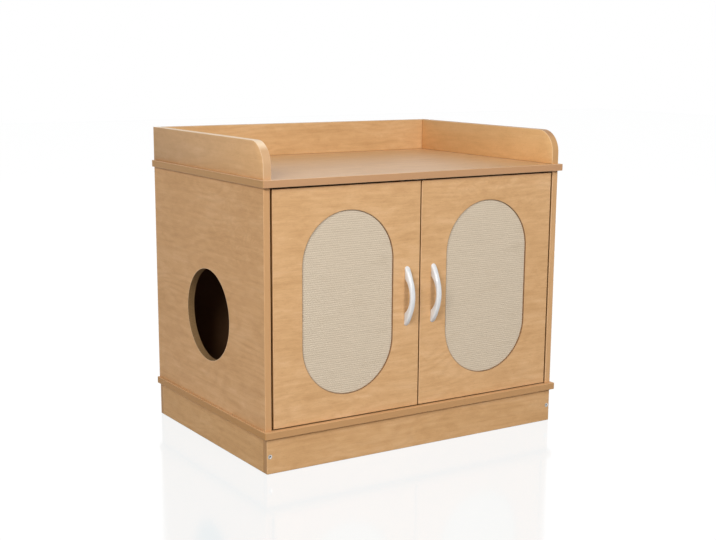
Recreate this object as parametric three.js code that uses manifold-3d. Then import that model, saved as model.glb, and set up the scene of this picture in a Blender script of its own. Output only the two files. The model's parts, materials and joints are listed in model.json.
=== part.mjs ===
// Cat litter box cabinet: two inset doors with scratching mats, and a round cat hole in the left side.
// Millimetres, +Z up. The doors face -Y, and left and right are as seen from the front.
// The origin is on the floor, under the middle of the outline, handles included.

import * as THREE from 'three';
import { mergeVertices } from 'three/addons/utils/BufferGeometryUtils.js';
import Module from 'manifold-3d';

const wasm = await Module();
wasm.setup();

// Carcass
const carcassWidth = 760; // over the side panels
const carcassDepth = 526; // front to rear edges of the side panels
const sideHeight = 498; // clear height between the bottom and the top board
const sideThickness = 15;
const shelfThickness = 15; // bottom and top board
const overhangSide = 5.5; // of the bottom and top board, past the side panels
const overhangFront = 10;
const edgeEase = 0.6; // chamfer on every board's edges
const catHoleRadius = 101;
const catHoleFromFront = 257;
const catHoleAboveBottom = 198; // centre above the bottom board

// Back panel, let into grooves
const backThickness = 3;
const backFromRear = 12; // rear edge of the sides to the groove
const grooveDepth = 6;

// Plinth
const plinthHeight = 76;
const plinthThickness = 15;
const plinthInset = 2; // behind the side panels' outer faces
const plinthReach = 2; // in front of the side panels' front edges
const plinthScrewHeight = 37;

// Gallery round the top
const galleryHeight = 75;
const galleryThickness = 18;
const galleryCornerRadius = 50;

// Doors and mats
const doorThickness = 15;
const doorSideGap = 4.5;
const doorMiddleGap = 3;
const doorTopGap = 4.5;
const doorBottomGap = 2.5;
const matWidth = 221.5;
const matHeight = 388.5;
const matThickness = 2.5;
const matRecess = 2; // mat face below the door face
const matEase = 0.8; // rounded edge of the mat

// Bow handles
const handleLength = 130;
const handleWidth = 12;
const handleRise = 26; // door face to the outside of the bow
const handleGap = 18.5; // door face to the inside of the bow
const handleOpening = 72; // length of the finger gap at the door face
const handleRounding = 2.6;
const handleInset = 33; // centre line to the door's meeting edge
const handleScrewInset = 17; // from each end of the handle
const handleScrewReach = 7; // of the screw into the handle's foot

// Concealed cup hinges
const hingeFromEnd = 80; // hinge centre to the door's top and bottom edge
const pinInset = 12.5; // hinge axis to the door's edge
const pinDepth = 9; // hinge axis behind the door's face
const pinRadius = 1.5;
const pinLength = 22;
const cupRadius = 17.5; // bore in the door
const cupDepth = 11.5;
const cupWall = 1;
const cupEdge = 5; // door's edge to the bore
const flangeThickness = 1.2;
const flangeRim = 2; // round the bore
const flangeLength = 62;
const flangeWidth = 13;
const flangeOffset = 6; // flange centre line to cup centre
const lugRadius = 3;
const knuckleRadius = 3.2;
const armWidth = 14;
const armThickness = 2.2;
const armLength = 53; // of the channel on its rail
const armStart = 29; // hinge axis to the front of the channel
const railStart = 26; // hinge axis to the front of the rail
const railLength = 52;
const railWidth = 11;
const railHeight = 7.2; // above the side panel
const plateThickness = 2.5;
const plateLength = 46;
const plateWidth = 12;
const plateCentre = 43; // hinge axis to the plate's screw line
const channelSkirt = 4.4; // depth of the channel's side walls
const neckReach = 12.5; // hinge axis to the neck's outermost point, towards the cabinet's middle
const neckTurn = 9; // hinge axis to that point, into the cabinet
const neckDip = 2; // how the neck leaves the pin towards the door's face
const neckBend = 14; // how far the second bend is drawn out

// Magnetic catch and its strike plates
const catchWidth = 50;
const catchDepth = 14;
const catchWall = 1.5; // under the magnets
const catchCorner = 2.5;
const magnetWidth = 17;
const magnetHeight = 7;
const magnetDepth = 10;
const magnetReach = 1.2; // in front of the housing
const magnetSpacing = 15; // centre line to each magnet
const strikeWidth = 22;
const strikeHeight = 14;
const strikeThickness = 1.5;
const strikeFromTop = 1.5; // door's top edge to the strike
const strikeCorner = 3;

// Fasteners
const plinthScrewHead = 4.8;
const plinthScrewHeadFlat = 0.7;
const plinthScrewCone = 3; // length of the countersunk cone
const plinthScrewShank = 2.5;
const plinthScrewTip = 0.8;
const plinthScrewLength = 48;
const plinthScrewPoint = 4;
const plinthScrewSocket = 2;
const plinthScrewSocketDepth = 2.6;
const handleScrewHead = 4;
const handleScrewHeadHeight = 2.4;
const handleScrewCrown = 2.8; // flat top of the head
const handleScrewSlot = 1;
const handleScrewShank = 2;
const camRadius = 7.5;
const camLength = 12.2;
const camEndDistance = 34; // cam centre to the side panel's end
const camFromFront = 62;
const camFromRear = 62;
const camSlotLength = 9;
const camSlotWidth = 1.4;
const camSlotDepth = 2.4;

// Fits
const clearance = 0.3; // between a piece and the bore, groove or seat that holds it
const footGap = 0.03; // between a handle's feet and the door's face

// Facets round a full circle
const holeFacets = 72;
const cupFacets = 32;
const knuckleFacets = 18;
const camFacets = 16;
const screwFacets = 14;
const pinFacets = 12;
const screwBoreFacets = 10;
const socketFacets = 6;
const neckSteps = 28; // along a hinge's swan neck

// Levels and lines that follow
const innerWidth = carcassWidth - 2 * sideThickness;
const bottomTop = plinthHeight + shelfThickness;
const topUnder = bottomTop + sideHeight;
const galleryBase = topUnder + shelfThickness;
const doorWidth = (innerWidth - 2 * doorSideGap - doorMiddleGap) / 2;
const doorHeight = sideHeight - doorTopGap - doorBottomGap;
const doorCentreX = (doorMiddleGap + doorWidth) / 2;
const doorCentreZ = bottomTop + doorBottomGap + doorHeight / 2;
const pocketDepth = matThickness + matRecess;
const hingeX = innerWidth / 2 - doorSideGap - pinInset;
const hingeSpan = doorHeight - 2 * hingeFromEnd;
const hingeLevels = [doorCentreZ - hingeSpan / 2, doorCentreZ + hingeSpan / 2];
const hingeToSide = doorSideGap + pinInset; // hinge axis to the side panel
const hingeToDoorBack = doorThickness - pinDepth;
const cupFromPin = cupEdge + cupRadius - pinInset;
const cupSeat = hingeToDoorBack + clearance; // hinge axis to the underside of the cup's flange
const handleX = doorMiddleGap / 2 + handleInset;
const handleScrewZ = handleLength / 2 - handleScrewInset;
const middleY = (carcassDepth - handleRise) / 2;
const backInnerY = carcassDepth - backFromRear - backThickness;
const left = -1;
const right = 1;

const finishes = {
  beech: { color: '#d6ab7a', roughness: 0.55, metalness: 0 },
  hardboard: { color: '#c9a173', roughness: 0.7, metalness: 0 },
  sisal: { color: '#cabda6', roughness: 0.95, metalness: 0 },
  white: { color: '#eceae8', roughness: 0.35, metalness: 0 },
  steel: { color: '#b9bcc0', roughness: 0.3, metalness: 1 },
  plastic: { color: '#e4dccd', roughness: 0.5, metalness: 0 },
  magnet: { color: '#4b4c4e', roughness: 0.45, metalness: 0.8 },
};

// Shapes

function outward(geometry) {
  // A solid whose faces point inwards has a negative volume: its triangles are turned round.
  const flat = geometry.index ? geometry.toNonIndexed() : geometry;
  const p = flat.attributes.position;
  const a = new THREE.Vector3();
  const b = new THREE.Vector3();
  const c = new THREE.Vector3();
  let volume = 0;
  for (let i = 0; i < p.count; i += 3) {
    a.fromBufferAttribute(p, i);
    b.fromBufferAttribute(p, i + 1);
    c.fromBufferAttribute(p, i + 2);
    volume += a.dot(b.cross(c));
  }
  if (volume < 0) {
    for (let i = 0; i < p.count; i += 3) {
      a.fromBufferAttribute(p, i);
      b.fromBufferAttribute(p, i + 1);
      p.setXYZ(i, b.x, b.y, b.z);
      p.setXYZ(i + 1, a.x, a.y, a.z);
    }
  }
  flat.deleteAttribute('normal');
  flat.deleteAttribute('uv');
  return flat;
}

function toSolid(geometry) {
  const merged = mergeVertices(outward(geometry.clone()));
  const triVerts = new Uint32Array(merged.index.array);
  const vertProperties = merged.attributes.position.array;
  return new wasm.Manifold(new wasm.Mesh({ numProp: 3, vertProperties, triVerts }));
}

function toGeometry(solid) {
  const mesh = solid.getMesh();
  const geometry = new THREE.BufferGeometry();
  geometry.setAttribute('position', new THREE.BufferAttribute(mesh.vertProperties, 3));
  geometry.setIndex(new THREE.BufferAttribute(mesh.triVerts, 1));
  return geometry;
}

function cut(geometry, tools) {
  return toGeometry(tools.reduce((solid, tool) => solid.subtract(toSolid(tool)), toSolid(geometry)));
}

function join(geometries) {
  const [first, ...others] = geometries.map(toSolid);
  return toGeometry(others.reduce((solid, other) => solid.add(other), first));
}

function common(a, b) {
  return toGeometry(toSolid(a).intersect(toSolid(b)));
}

function boxAt(size, centre) {
  return new THREE.BoxGeometry(...size).translate(...centre);
}

function rod(axis, radius, length, centre, segments) {
  const geometry = new THREE.CylinderGeometry(radius, radius, length, segments);
  if (axis === 'x') geometry.rotateZ(Math.PI / 2);
  if (axis === 'z') geometry.rotateX(Math.PI / 2);
  return geometry.translate(...centre);
}

function easedBoard(width, depth, height) {
  // A board, centred, with every edge chamfered by edgeEase.
  const x = width / 2 - edgeEase;
  const y = depth / 2 - edgeEase;
  const shape = new THREE.Shape();
  shape.moveTo(-x + edgeEase, -y);
  shape.lineTo(x - edgeEase, -y);
  shape.lineTo(x, -y + edgeEase);
  shape.lineTo(x, y - edgeEase);
  shape.lineTo(x - edgeEase, y);
  shape.lineTo(-x + edgeEase, y);
  shape.lineTo(-x, y - edgeEase);
  shape.lineTo(-x, -y + edgeEase);
  return extruded(shape, height, edgeEase);
}

function extruded(shape, thickness, ease = 0, curveSegments = 14, bevelSegments = 1) {
  // Extruded along Z and centred on it. The bevel grows the shape sideways by its ease. An arc gets
  // twice curveSegments facets.
  const geometry = new THREE.ExtrudeGeometry(shape, {
    depth: thickness - 2 * ease,
    bevelEnabled: ease > 0,
    bevelSize: ease,
    bevelThickness: ease,
    bevelSegments,
    curveSegments,
  });
  return geometry.translate(0, 0, ease - thickness / 2);
}

function obround(width, height) {
  // Two half circles joined by straight sides, upright.
  const radius = width / 2;
  const straight = height / 2 - radius;
  const shape = new THREE.Shape();
  shape.moveTo(radius, -straight);
  shape.lineTo(radius, straight);
  shape.absarc(0, straight, radius, 0, Math.PI, false);
  shape.lineTo(-radius, -straight);
  shape.absarc(0, -straight, radius, Math.PI, 2 * Math.PI, false);
  return shape;
}

function roundedRect(width, height, radius) {
  const x = width / 2;
  const y = height / 2;
  const shape = new THREE.Shape();
  shape.moveTo(x, -y + radius);
  shape.lineTo(x, y - radius);
  shape.absarc(x - radius, y - radius, radius, 0, Math.PI / 2, false);
  shape.lineTo(-x + radius, y);
  shape.absarc(-x + radius, y - radius, radius, Math.PI / 2, Math.PI, false);
  shape.lineTo(-x, -y + radius);
  shape.absarc(-x + radius, -y + radius, radius, Math.PI, 1.5 * Math.PI, false);
  shape.lineTo(x - radius, -y);
  shape.absarc(x - radius, -y + radius, radius, 1.5 * Math.PI, 2 * Math.PI, false);
  return shape;
}

function facingFront(geometry) {
  // Turns a shape drawn in X and Y so that it stands in X and Z.
  return geometry.rotateX(Math.PI / 2);
}

function facingSide(geometry) {
  // Turns a shape drawn in X and Y so that it stands in Y and Z.
  const basis = new THREE.Matrix4();
  basis.makeBasis(new THREE.Vector3(0, 1, 0), new THREE.Vector3(0, 0, 1), new THREE.Vector3(1, 0, 0));
  return geometry.applyMatrix4(basis);
}

function piece(group, name, geometry, finish, x = 0, y = 0, z = 0) {
  const mesh = new THREE.Mesh(outward(geometry), new THREE.MeshStandardMaterial(finishes[finish]));
  mesh.name = name;
  mesh.position.set(x, y, z);
  group.add(mesh);
}

function sideName(side) {
  return side === left ? 'left' : 'right';
}

// Fasteners

function plinthScrewShape(grow) {
  // Countersunk screw along +Y, its head's face at the origin. grow gives the bore round it.
  const head = plinthScrewHead + grow;
  const shank = plinthScrewShank + grow;
  const tip = plinthScrewTip + grow;
  const coneEnd = plinthScrewHeadFlat + plinthScrewCone + grow;
  const end = plinthScrewLength + grow;
  const outline = [
    new THREE.Vector2(0, -grow),
    new THREE.Vector2(head, -grow),
    new THREE.Vector2(head, plinthScrewHeadFlat + grow),
    new THREE.Vector2(shank, coneEnd),
    new THREE.Vector2(shank, end - plinthScrewPoint),
    new THREE.Vector2(tip, end),
    new THREE.Vector2(0, end),
  ];
  return new THREE.LatheGeometry(outline, screwFacets);
}

function plinthScrewPiece() {
  const socket = rod('y', plinthScrewSocket, 2 * plinthScrewSocketDepth, [0, 0, 0], socketFacets);
  return cut(plinthScrewShape(0), [socket]);
}

function handleScrewPiece() {
  // Pan head screw from inside the door, along -Y. Its head bears on the door's back.
  const shankLength = doorThickness + handleScrewReach + clearance;
  const outline = [
    new THREE.Vector2(0, -shankLength),
    new THREE.Vector2(handleScrewShank, -shankLength),
    new THREE.Vector2(handleScrewShank, 0),
    new THREE.Vector2(handleScrewHead, 0),
    new THREE.Vector2(handleScrewHead, handleScrewHeadHeight / 2),
    new THREE.Vector2(handleScrewCrown, handleScrewHeadHeight),
    new THREE.Vector2(0, handleScrewHeadHeight),
  ];
  const crossSlots = [0, Math.PI / 2].map((turn) => {
    const slot = new THREE.BoxGeometry(handleScrewHead, handleScrewHeadHeight, handleScrewSlot);
    return slot.translate(0, handleScrewHeadHeight, 0).rotateY(turn);
  });
  return cut(new THREE.LatheGeometry(outline, pinFacets), crossSlots);
}

function camPiece(side) {
  // Cam lock, its slotted face towards the cabinet's inside.
  const crossSlots = [0, Math.PI / 2].map((turn) => {
    const slot = new THREE.BoxGeometry(2 * camSlotDepth, camSlotLength, camSlotWidth).rotateX(turn);
    return slot.translate(-side * camLength / 2, 0, 0);
  });
  return cut(rod('x', camRadius, camLength, [0, 0, 0], camFacets), crossSlots);
}

const camPlaces = [
  ['bottom_front', camFromFront, bottomTop + camEndDistance],
  ['bottom_back', carcassDepth - camFromRear, bottomTop + camEndDistance],
  ['top_front', camFromFront, topUnder - camEndDistance],
  ['top_back', carcassDepth - camFromRear, topUnder - camEndDistance],
];

// Plinth

function addPlinth(group) {
  const width = carcassWidth - 2 * plinthInset;
  const middleZ = plinthHeight / 2;
  const screwX = (width - plinthThickness) / 2;
  const frontY = -plinthReach + plinthThickness / 2;
  const backY = carcassDepth - plinthThickness / 2;
  const runLength = backY - frontY - plinthThickness;
  const runY = (backY + frontY) / 2;

  // The front and back board cap the ends of the side boards and are screwed to them.
  const boresAt = (x) => {
    const fromFront = plinthScrewShape(clearance);
    const fromBack = plinthScrewShape(clearance).rotateZ(Math.PI);
    fromFront.translate(x, -plinthReach, plinthScrewHeight);
    fromBack.translate(x, carcassDepth, plinthScrewHeight);
    return [fromFront, fromBack];
  };
  const allBores = [...boresAt(-screwX), ...boresAt(screwX)];
  for (const [name, y] of [['plinth_front', frontY], ['plinth_back', backY]]) {
    const cap = easedBoard(width, plinthThickness, plinthHeight).translate(0, y, middleZ);
    piece(group, name, cut(cap, allBores), 'beech');
  }
  for (const side of [left, right]) {
    const x = side * screwX;
    const run = easedBoard(plinthThickness, runLength, plinthHeight).translate(x, runY, middleZ);
    piece(group, `plinth_${sideName(side)}`, cut(run, boresAt(x)), 'beech');
    const fromFront = plinthScrewPiece();
    const fromBack = plinthScrewPiece().rotateZ(Math.PI);
    const z = plinthScrewHeight;
    piece(group, `plinth_screw_front_${sideName(side)}`, fromFront, 'steel', x, -plinthReach, z);
    piece(group, `plinth_screw_back_${sideName(side)}`, fromBack, 'steel', x, carcassDepth, z);
  }
}

// Carcass

function backSpace(margin) {
  // The back panel's own block, or with the clearance as margin the grooves that it stands in.
  const reach = 2 * (grooveDepth - clearance + margin);
  const size = [innerWidth + reach, backThickness + 2 * margin, sideHeight + reach];
  return boxAt(size, [0, backInnerY + backThickness / 2, (bottomTop + topUnder) / 2]);
}

function addCarcass(group) {
  const shelfWidth = carcassWidth + 2 * overhangSide;
  const shelfDepth = carcassDepth + overhangFront;
  const shelfY = (carcassDepth - overhangFront) / 2;
  for (const [name, underside] of [['bottom_board', plinthHeight], ['top_board', topUnder]]) {
    const board = easedBoard(shelfWidth, shelfDepth, shelfThickness);
    board.translate(0, shelfY, underside + shelfThickness / 2);
    piece(group, name, cut(board, [backSpace(clearance)]), 'beech');
  }

  for (const side of [left, right]) {
    const x = side * (carcassWidth - sideThickness) / 2;
    const panel = easedBoard(sideThickness, carcassDepth, sideHeight);
    panel.translate(x, carcassDepth / 2, (bottomTop + topUnder) / 2);
    const cuts = [backSpace(clearance)];
    const camX = side * (innerWidth + camLength) / 2;
    const camBore = camLength + 2 * clearance;
    for (const [place, y, z] of camPlaces) {
      const name = `cam_${sideName(side)}_${place}`;
      cuts.push(rod('x', camRadius + clearance, camBore, [camX, y, z], camFacets));
      piece(group, name, camPiece(side), 'steel', camX + side * clearance / 2, y, z);
    }
    if (side === left) {
      const holeZ = bottomTop + catHoleAboveBottom;
      cuts.push(rod('x', catHoleRadius, 2 * sideThickness, [x, catHoleFromFront, holeZ], holeFacets));
    }
    piece(group, `${sideName(side)}_side`, cut(panel, cuts), 'beech');
  }

  piece(group, 'back_panel', backSpace(0), 'hardboard');
}

// Gallery

function gallerySideShape() {
  // Side view with the front at the left: a rounded front top corner.
  const low = edgeEase;
  const high = galleryHeight - edgeEase;
  const front = edgeEase;
  const rear = carcassDepth - edgeEase;
  const radius = galleryCornerRadius - edgeEase;
  const shape = new THREE.Shape();
  shape.moveTo(front, low);
  shape.lineTo(rear, low);
  shape.lineTo(rear, high);
  shape.lineTo(front + radius, high);
  shape.absarc(front + radius, high - radius, radius, Math.PI / 2, Math.PI, false);
  return shape;
}

function addGallery(group) {
  const x = (carcassWidth - galleryThickness) / 2;
  for (const side of [left, right]) {
    const board = facingSide(extruded(gallerySideShape(), galleryThickness, edgeEase, 9));
    piece(group, `gallery_${sideName(side)}`, board, 'beech', side * x, 0, galleryBase);
  }
  const backWidth = carcassWidth - 2 * galleryThickness;
  const back = easedBoard(backWidth, galleryThickness, galleryHeight);
  back.translate(0, carcassDepth - galleryThickness / 2, galleryBase + galleryHeight / 2);
  piece(group, 'gallery_back', back, 'beech');
}

// Doors

function doorPanel(side) {
  const panel = easedBoard(doorWidth, doorThickness, doorHeight).translate(0, doorThickness / 2, 0);
  const pocketShape = obround(matWidth + 2 * clearance, matHeight + 2 * clearance);
  const pocket = facingFront(extruded(pocketShape, 2 * pocketDepth));
  const cuts = [pocket];
  const handleAt = side * (handleX - doorCentreX);
  const screwBore = handleScrewShank + clearance;
  for (const z of [-handleScrewZ, handleScrewZ]) {
    cuts.push(rod('y', screwBore, 3 * doorThickness, [handleAt, 0, z], screwBoreFacets));
  }
  const cupAt = side * (doorWidth / 2 - cupEdge - cupRadius);
  const boreDepth = cupDepth + clearance;
  for (const z of hingeLevels) {
    cuts.push(rod('y', cupRadius, 2 * boreDepth, [cupAt, doorThickness, z - doorCentreZ], cupFacets));
  }
  return cut(panel, cuts);
}

function matPiece() {
  const shape = obround(matWidth - 2 * matEase, matHeight - 2 * matEase);
  return facingFront(extruded(shape, matThickness, matEase));
}

function bow(length, rise) {
  // The arc over a chord of the given length on the door face, standing proud by rise.
  const radius = (length * length / 4 + rise * rise) / (2 * rise);
  const centre = rise - radius;
  return { radius, centre };
}

function handleGeometry() {
  // Side view: X is proud of the door, Y is along the handle. Both bows run on into the door and
  // are cut off at its face; the plan rounds the ends.
  const outer = bow(handleLength - 2 * handleRounding, handleRise - handleRounding);
  const inner = bow(handleOpening + 2 * handleRounding, handleGap + handleRounding);
  const sunk = -2 * handleRounding;
  const outerAngle = Math.acos((sunk - outer.centre) / outer.radius);
  const innerAngle = Math.acos((sunk - inner.centre) / inner.radius);
  const shape = new THREE.Shape();
  shape.absarc(outer.centre, 0, outer.radius, -outerAngle, outerAngle, false);
  shape.absarc(inner.centre, 0, inner.radius, innerAngle, -innerAngle, true);
  const basis = new THREE.Matrix4();
  basis.makeBasis(new THREE.Vector3(0, -1, 0), new THREE.Vector3(0, 0, 1), new THREE.Vector3(-1, 0, 0));
  const arch = extruded(shape, handleWidth, handleRounding, 12, 2).applyMatrix4(basis);
  const plan = facingFront(extruded(obround(handleWidth, handleLength), 4 * handleRise, 0, 5));
  const roomSize = [2 * handleWidth, 2 * handleRise, 2 * handleLength];
  const infront = boxAt(roomSize, [0, -handleRise - footGap, 0]);
  const boreLength = 2 * (handleScrewReach + 2 * clearance);
  const bores = [-handleScrewZ, handleScrewZ].map((z) =>
    rod('y', handleScrewShank + clearance, boreLength, [0, 0, z], screwBoreFacets),
  );
  return cut(common(common(arch, plan), infront), bores);
}

function addDoor(cabinet, side) {
  const name = sideName(side);
  const door = new THREE.Group();
  door.position.set(side * doorCentreX, 0, doorCentreZ);
  cabinet.add(door);
  piece(door, `${name}_door`, doorPanel(side), 'beech');
  piece(door, `${name}_scratch_mat`, matPiece(), 'sisal', 0, pocketDepth - matThickness / 2, 0);

  const handleAt = side * (handleX - doorCentreX);
  piece(door, `${name}_handle`, handleGeometry(), 'white', handleAt, 0, 0);
  for (const [end, z] of [['lower', -handleScrewZ], ['upper', handleScrewZ]]) {
    piece(door, `${name}_handle_screw_${end}`, handleScrewPiece(), 'steel', handleAt, doorThickness, z);
  }

  const strikeShape = roundedRect(strikeWidth, strikeHeight, strikeCorner);
  const strike = facingFront(extruded(strikeShape, strikeThickness, 0, 2));
  const strikeX = side * (magnetSpacing - doorCentreX);
  const strikeY = doorThickness + strikeThickness / 2;
  const strikeZ = doorHeight / 2 - strikeFromTop - strikeHeight / 2;
  piece(door, `${name}_strike_plate`, strike, 'steel', strikeX, strikeY, strikeZ);
}

// Hinges. Each is drawn round its own axis: X runs from the side panel towards the middle of the
// cabinet, Y into it. They are alike top to bottom, so the right ones are the left ones turned over.

function hingeRod(radius, length) {
  return rod('z', radius, length, [0, 0, 0], pinFacets);
}

function hingeCup() {
  const outer = cupRadius - clearance;
  const inner = outer - cupWall;
  const rim = cupRadius + flangeRim;
  const outline = [
    new THREE.Vector2(0, -cupDepth),
    new THREE.Vector2(outer, -cupDepth),
    new THREE.Vector2(outer, 0),
    new THREE.Vector2(rim, 0),
    new THREE.Vector2(rim, flangeThickness),
    new THREE.Vector2(inner, flangeThickness),
    new THREE.Vector2(inner, cupWall - cupDepth),
    new THREE.Vector2(0, cupWall - cupDepth),
  ];
  const cup = new THREE.LatheGeometry(outline, cupFacets);
  const wing = facingFront(extruded(obround(flangeWidth, flangeLength), flangeThickness, 0, 5));
  wing.translate(flangeOffset, flangeThickness / 2, 0);
  const mouth = rod('y', inner, 2 * cupDepth, [0, cupWall, 0], cupFacets);
  const flangedCup = join([cup, cut(wing, [mouth])]);

  // Two lugs inside the cup, one at each end of the arm's knuckle, carry the pin on the axis.
  const cupSpace = rod('y', inner + cupWall / 2, cupDepth, [0, -cupDepth / 2, 0], cupFacets);
  const lugs = [-1, 1].map((end) => {
    const middle = [-cupFromPin, -cupSeat, end * (armWidth / 2 + clearance + cupRadius / 2)];
    return common(rod('z', lugRadius, cupRadius, middle, knuckleFacets), cupSpace);
  });
  const pinBore = hingeRod(pinRadius + clearance, pinLength + 2 * clearance);
  pinBore.translate(-cupFromPin, -cupSeat, 0);
  return cut(join([flangedCup, ...lugs]), [pinBore]);
}

function neckPath(channelX) {
  // Swan neck: from the pin out of the cup, round the door's edge and back to the side panel.
  const point = (x, y) => new THREE.Vector3(x, y, 0);
  const outermost = point(neckReach, neckTurn);
  const end = point(channelX, armStart + armThickness);
  const leaving = point(neckReach / 2, -neckDip);
  const rising = point(neckReach, neckDip);
  const bending = point(neckReach, neckTurn + neckBend);
  const landing = point(channelX, end.y - neckBend);
  const path = new THREE.CurvePath();
  path.add(new THREE.CubicBezierCurve3(point(0, 0), leaving, rising, outermost));
  path.add(new THREE.CubicBezierCurve3(outermost, bending, landing, end));
  return path;
}

function hingeArm() {
  const channelX = -hingeToSide + railHeight + 2 * clearance + armThickness / 2;
  // The sweep lays the section's X along the hinge axis and its Y across the path.
  const neckSection = new THREE.Shape();
  neckSection.moveTo(-armWidth / 2, -armThickness / 2);
  neckSection.lineTo(armWidth / 2, -armThickness / 2);
  neckSection.lineTo(armWidth / 2, armThickness / 2);
  neckSection.lineTo(-armWidth / 2, armThickness / 2);
  const path = neckPath(channelX);
  const sweep = { steps: neckSteps, bevelEnabled: false, extrudePath: path };
  const neck = new THREE.ExtrudeGeometry(neckSection, sweep);

  const knuckle = rod('z', knuckleRadius, armWidth, [0, 0, 0], knuckleFacets);
  const channelY = armStart + armLength / 2;
  const shellDepth = armThickness + channelSkirt;
  const shellX = channelX + armThickness / 2 - shellDepth / 2;
  const shell = boxAt([shellDepth, armLength, armWidth], [shellX, channelY, 0]);
  const hollowSize = [2 * channelSkirt, 2 * armLength, railWidth + 2 * clearance];
  const hollow = boxAt(hollowSize, [channelX - armThickness / 2 - channelSkirt, channelY, 0]);
  const bore = hingeRod(pinRadius + clearance, 2 * armWidth);
  return cut(join([neck, knuckle, cut(shell, [hollow])]), [bore]);
}

function hingePlate() {
  // Winged plate on the side panel, with the rail that the arm slides on.
  const seat = -hingeToSide + clearance;
  const wings = facingSide(extruded(obround(plateWidth, plateLength), plateThickness, 0, 5));
  wings.translate(seat + plateThickness / 2, plateCentre, 0);
  const railMiddle = [seat + railHeight / 2, railStart + railLength / 2, 0];
  const rail = boxAt([railHeight, railLength, railWidth], railMiddle);
  return join([wings, rail]);
}

function addHinges(cabinet, side) {
  for (const [level, z] of [['lower', hingeLevels[0]], ['upper', hingeLevels[1]]]) {
    const hinge = new THREE.Group();
    hinge.position.set(side * hingeX, pinDepth, z);
    hinge.rotation.y = side === left ? 0 : Math.PI;
    cabinet.add(hinge);
    const name = `hinge_${sideName(side)}_${level}`;
    piece(hinge, `${name}_plate`, hingePlate(), 'steel');
    piece(hinge, `${name}_arm`, hingeArm(), 'steel');
    piece(hinge, `${name}_cup`, hingeCup(), 'steel', cupFromPin, cupSeat, 0);
    piece(hinge, `${name}_pin`, hingeRod(pinRadius, pinLength), 'steel');
  }
}

// Magnetic catch, under the top board behind the meeting edges of the doors

function addCatch(cabinet) {
  const magnetFrontY = doorThickness + strikeThickness + clearance;
  const housingFrontY = magnetFrontY + magnetReach;
  const centreY = housingFrontY + catchDepth / 2;
  const magnetY = magnetFrontY + magnetDepth / 2;
  const magnetZ = topUnder - doorTopGap - strikeFromTop - strikeHeight / 2;
  const underside = magnetZ - magnetHeight / 2 - clearance - catchWall;
  const housingPlan = roundedRect(catchWidth, catchDepth, catchCorner);
  const housing = extruded(housingPlan, topUnder - underside, 0, 2);
  housing.translate(0, centreY, (topUnder + underside) / 2);
  const magnetSize = [magnetWidth, magnetDepth, magnetHeight];
  const pocketSize = magnetSize.map((length) => length + 2 * clearance);
  const pockets = [left, right].map((side) =>
    boxAt(pocketSize, [side * magnetSpacing, magnetY, magnetZ]),
  );
  piece(cabinet, 'catch_housing', cut(housing, pockets), 'plastic');
  for (const side of [left, right]) {
    const magnet = boxAt(magnetSize, [side * magnetSpacing, magnetY, magnetZ]);
    piece(cabinet, `catch_magnet_${sideName(side)}`, magnet, 'magnet');
  }
}

// The whole cabinet

const cabinet = new THREE.Group();
cabinet.position.y = -middleY;
addPlinth(cabinet);
addCarcass(cabinet);
addGallery(cabinet);
for (const side of [left, right]) {
  addDoor(cabinet, side);
  addHinges(cabinet, side);
}
addCatch(cabinet);

const part = new THREE.Group();
part.add(cabinet);

export default part;
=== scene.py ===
import json
import math

import bmesh
import bpy
from mathutils import Matrix, Vector, noise

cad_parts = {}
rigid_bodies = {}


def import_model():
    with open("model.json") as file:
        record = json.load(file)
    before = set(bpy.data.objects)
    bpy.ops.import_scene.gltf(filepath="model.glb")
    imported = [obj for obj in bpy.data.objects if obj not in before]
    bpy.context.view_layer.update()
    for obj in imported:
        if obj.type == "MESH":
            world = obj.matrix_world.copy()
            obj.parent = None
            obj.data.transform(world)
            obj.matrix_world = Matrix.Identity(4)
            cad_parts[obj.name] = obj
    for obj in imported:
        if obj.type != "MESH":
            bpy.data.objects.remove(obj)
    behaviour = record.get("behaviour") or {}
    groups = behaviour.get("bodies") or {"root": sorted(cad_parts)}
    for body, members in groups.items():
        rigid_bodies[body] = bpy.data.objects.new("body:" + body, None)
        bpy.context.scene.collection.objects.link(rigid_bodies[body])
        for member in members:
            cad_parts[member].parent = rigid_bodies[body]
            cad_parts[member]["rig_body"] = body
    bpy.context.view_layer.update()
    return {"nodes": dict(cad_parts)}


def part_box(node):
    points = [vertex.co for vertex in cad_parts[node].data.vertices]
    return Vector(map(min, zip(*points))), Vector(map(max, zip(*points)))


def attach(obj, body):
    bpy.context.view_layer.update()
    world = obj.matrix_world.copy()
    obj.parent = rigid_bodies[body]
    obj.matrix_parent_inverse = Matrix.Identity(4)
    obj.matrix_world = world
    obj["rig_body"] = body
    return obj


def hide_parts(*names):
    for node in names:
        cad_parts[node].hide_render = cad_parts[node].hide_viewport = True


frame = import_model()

# Cat litter box cabinet: beech boards, sisal mats, bow handles, cup hinges and their screws.
# Places, the camera and the studio are in metres. The pieces' own sizes are in millimetres.
scene = bpy.context.scene
nodes = frame["nodes"]
mm = 0.001
sides = {"left": -1, "right": 1}


# Camera, light and floor

view = {
    "place": (-1.5510, -2.4207, 0.8562),
    "turn": 32.69,  # degrees from +Y towards +X
    "dip": 11.67,
    "roll": 0.379,
    "lens": 63.3,
    "sensor": 36.0,
    "shiftY": 0.0546,
}


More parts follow.
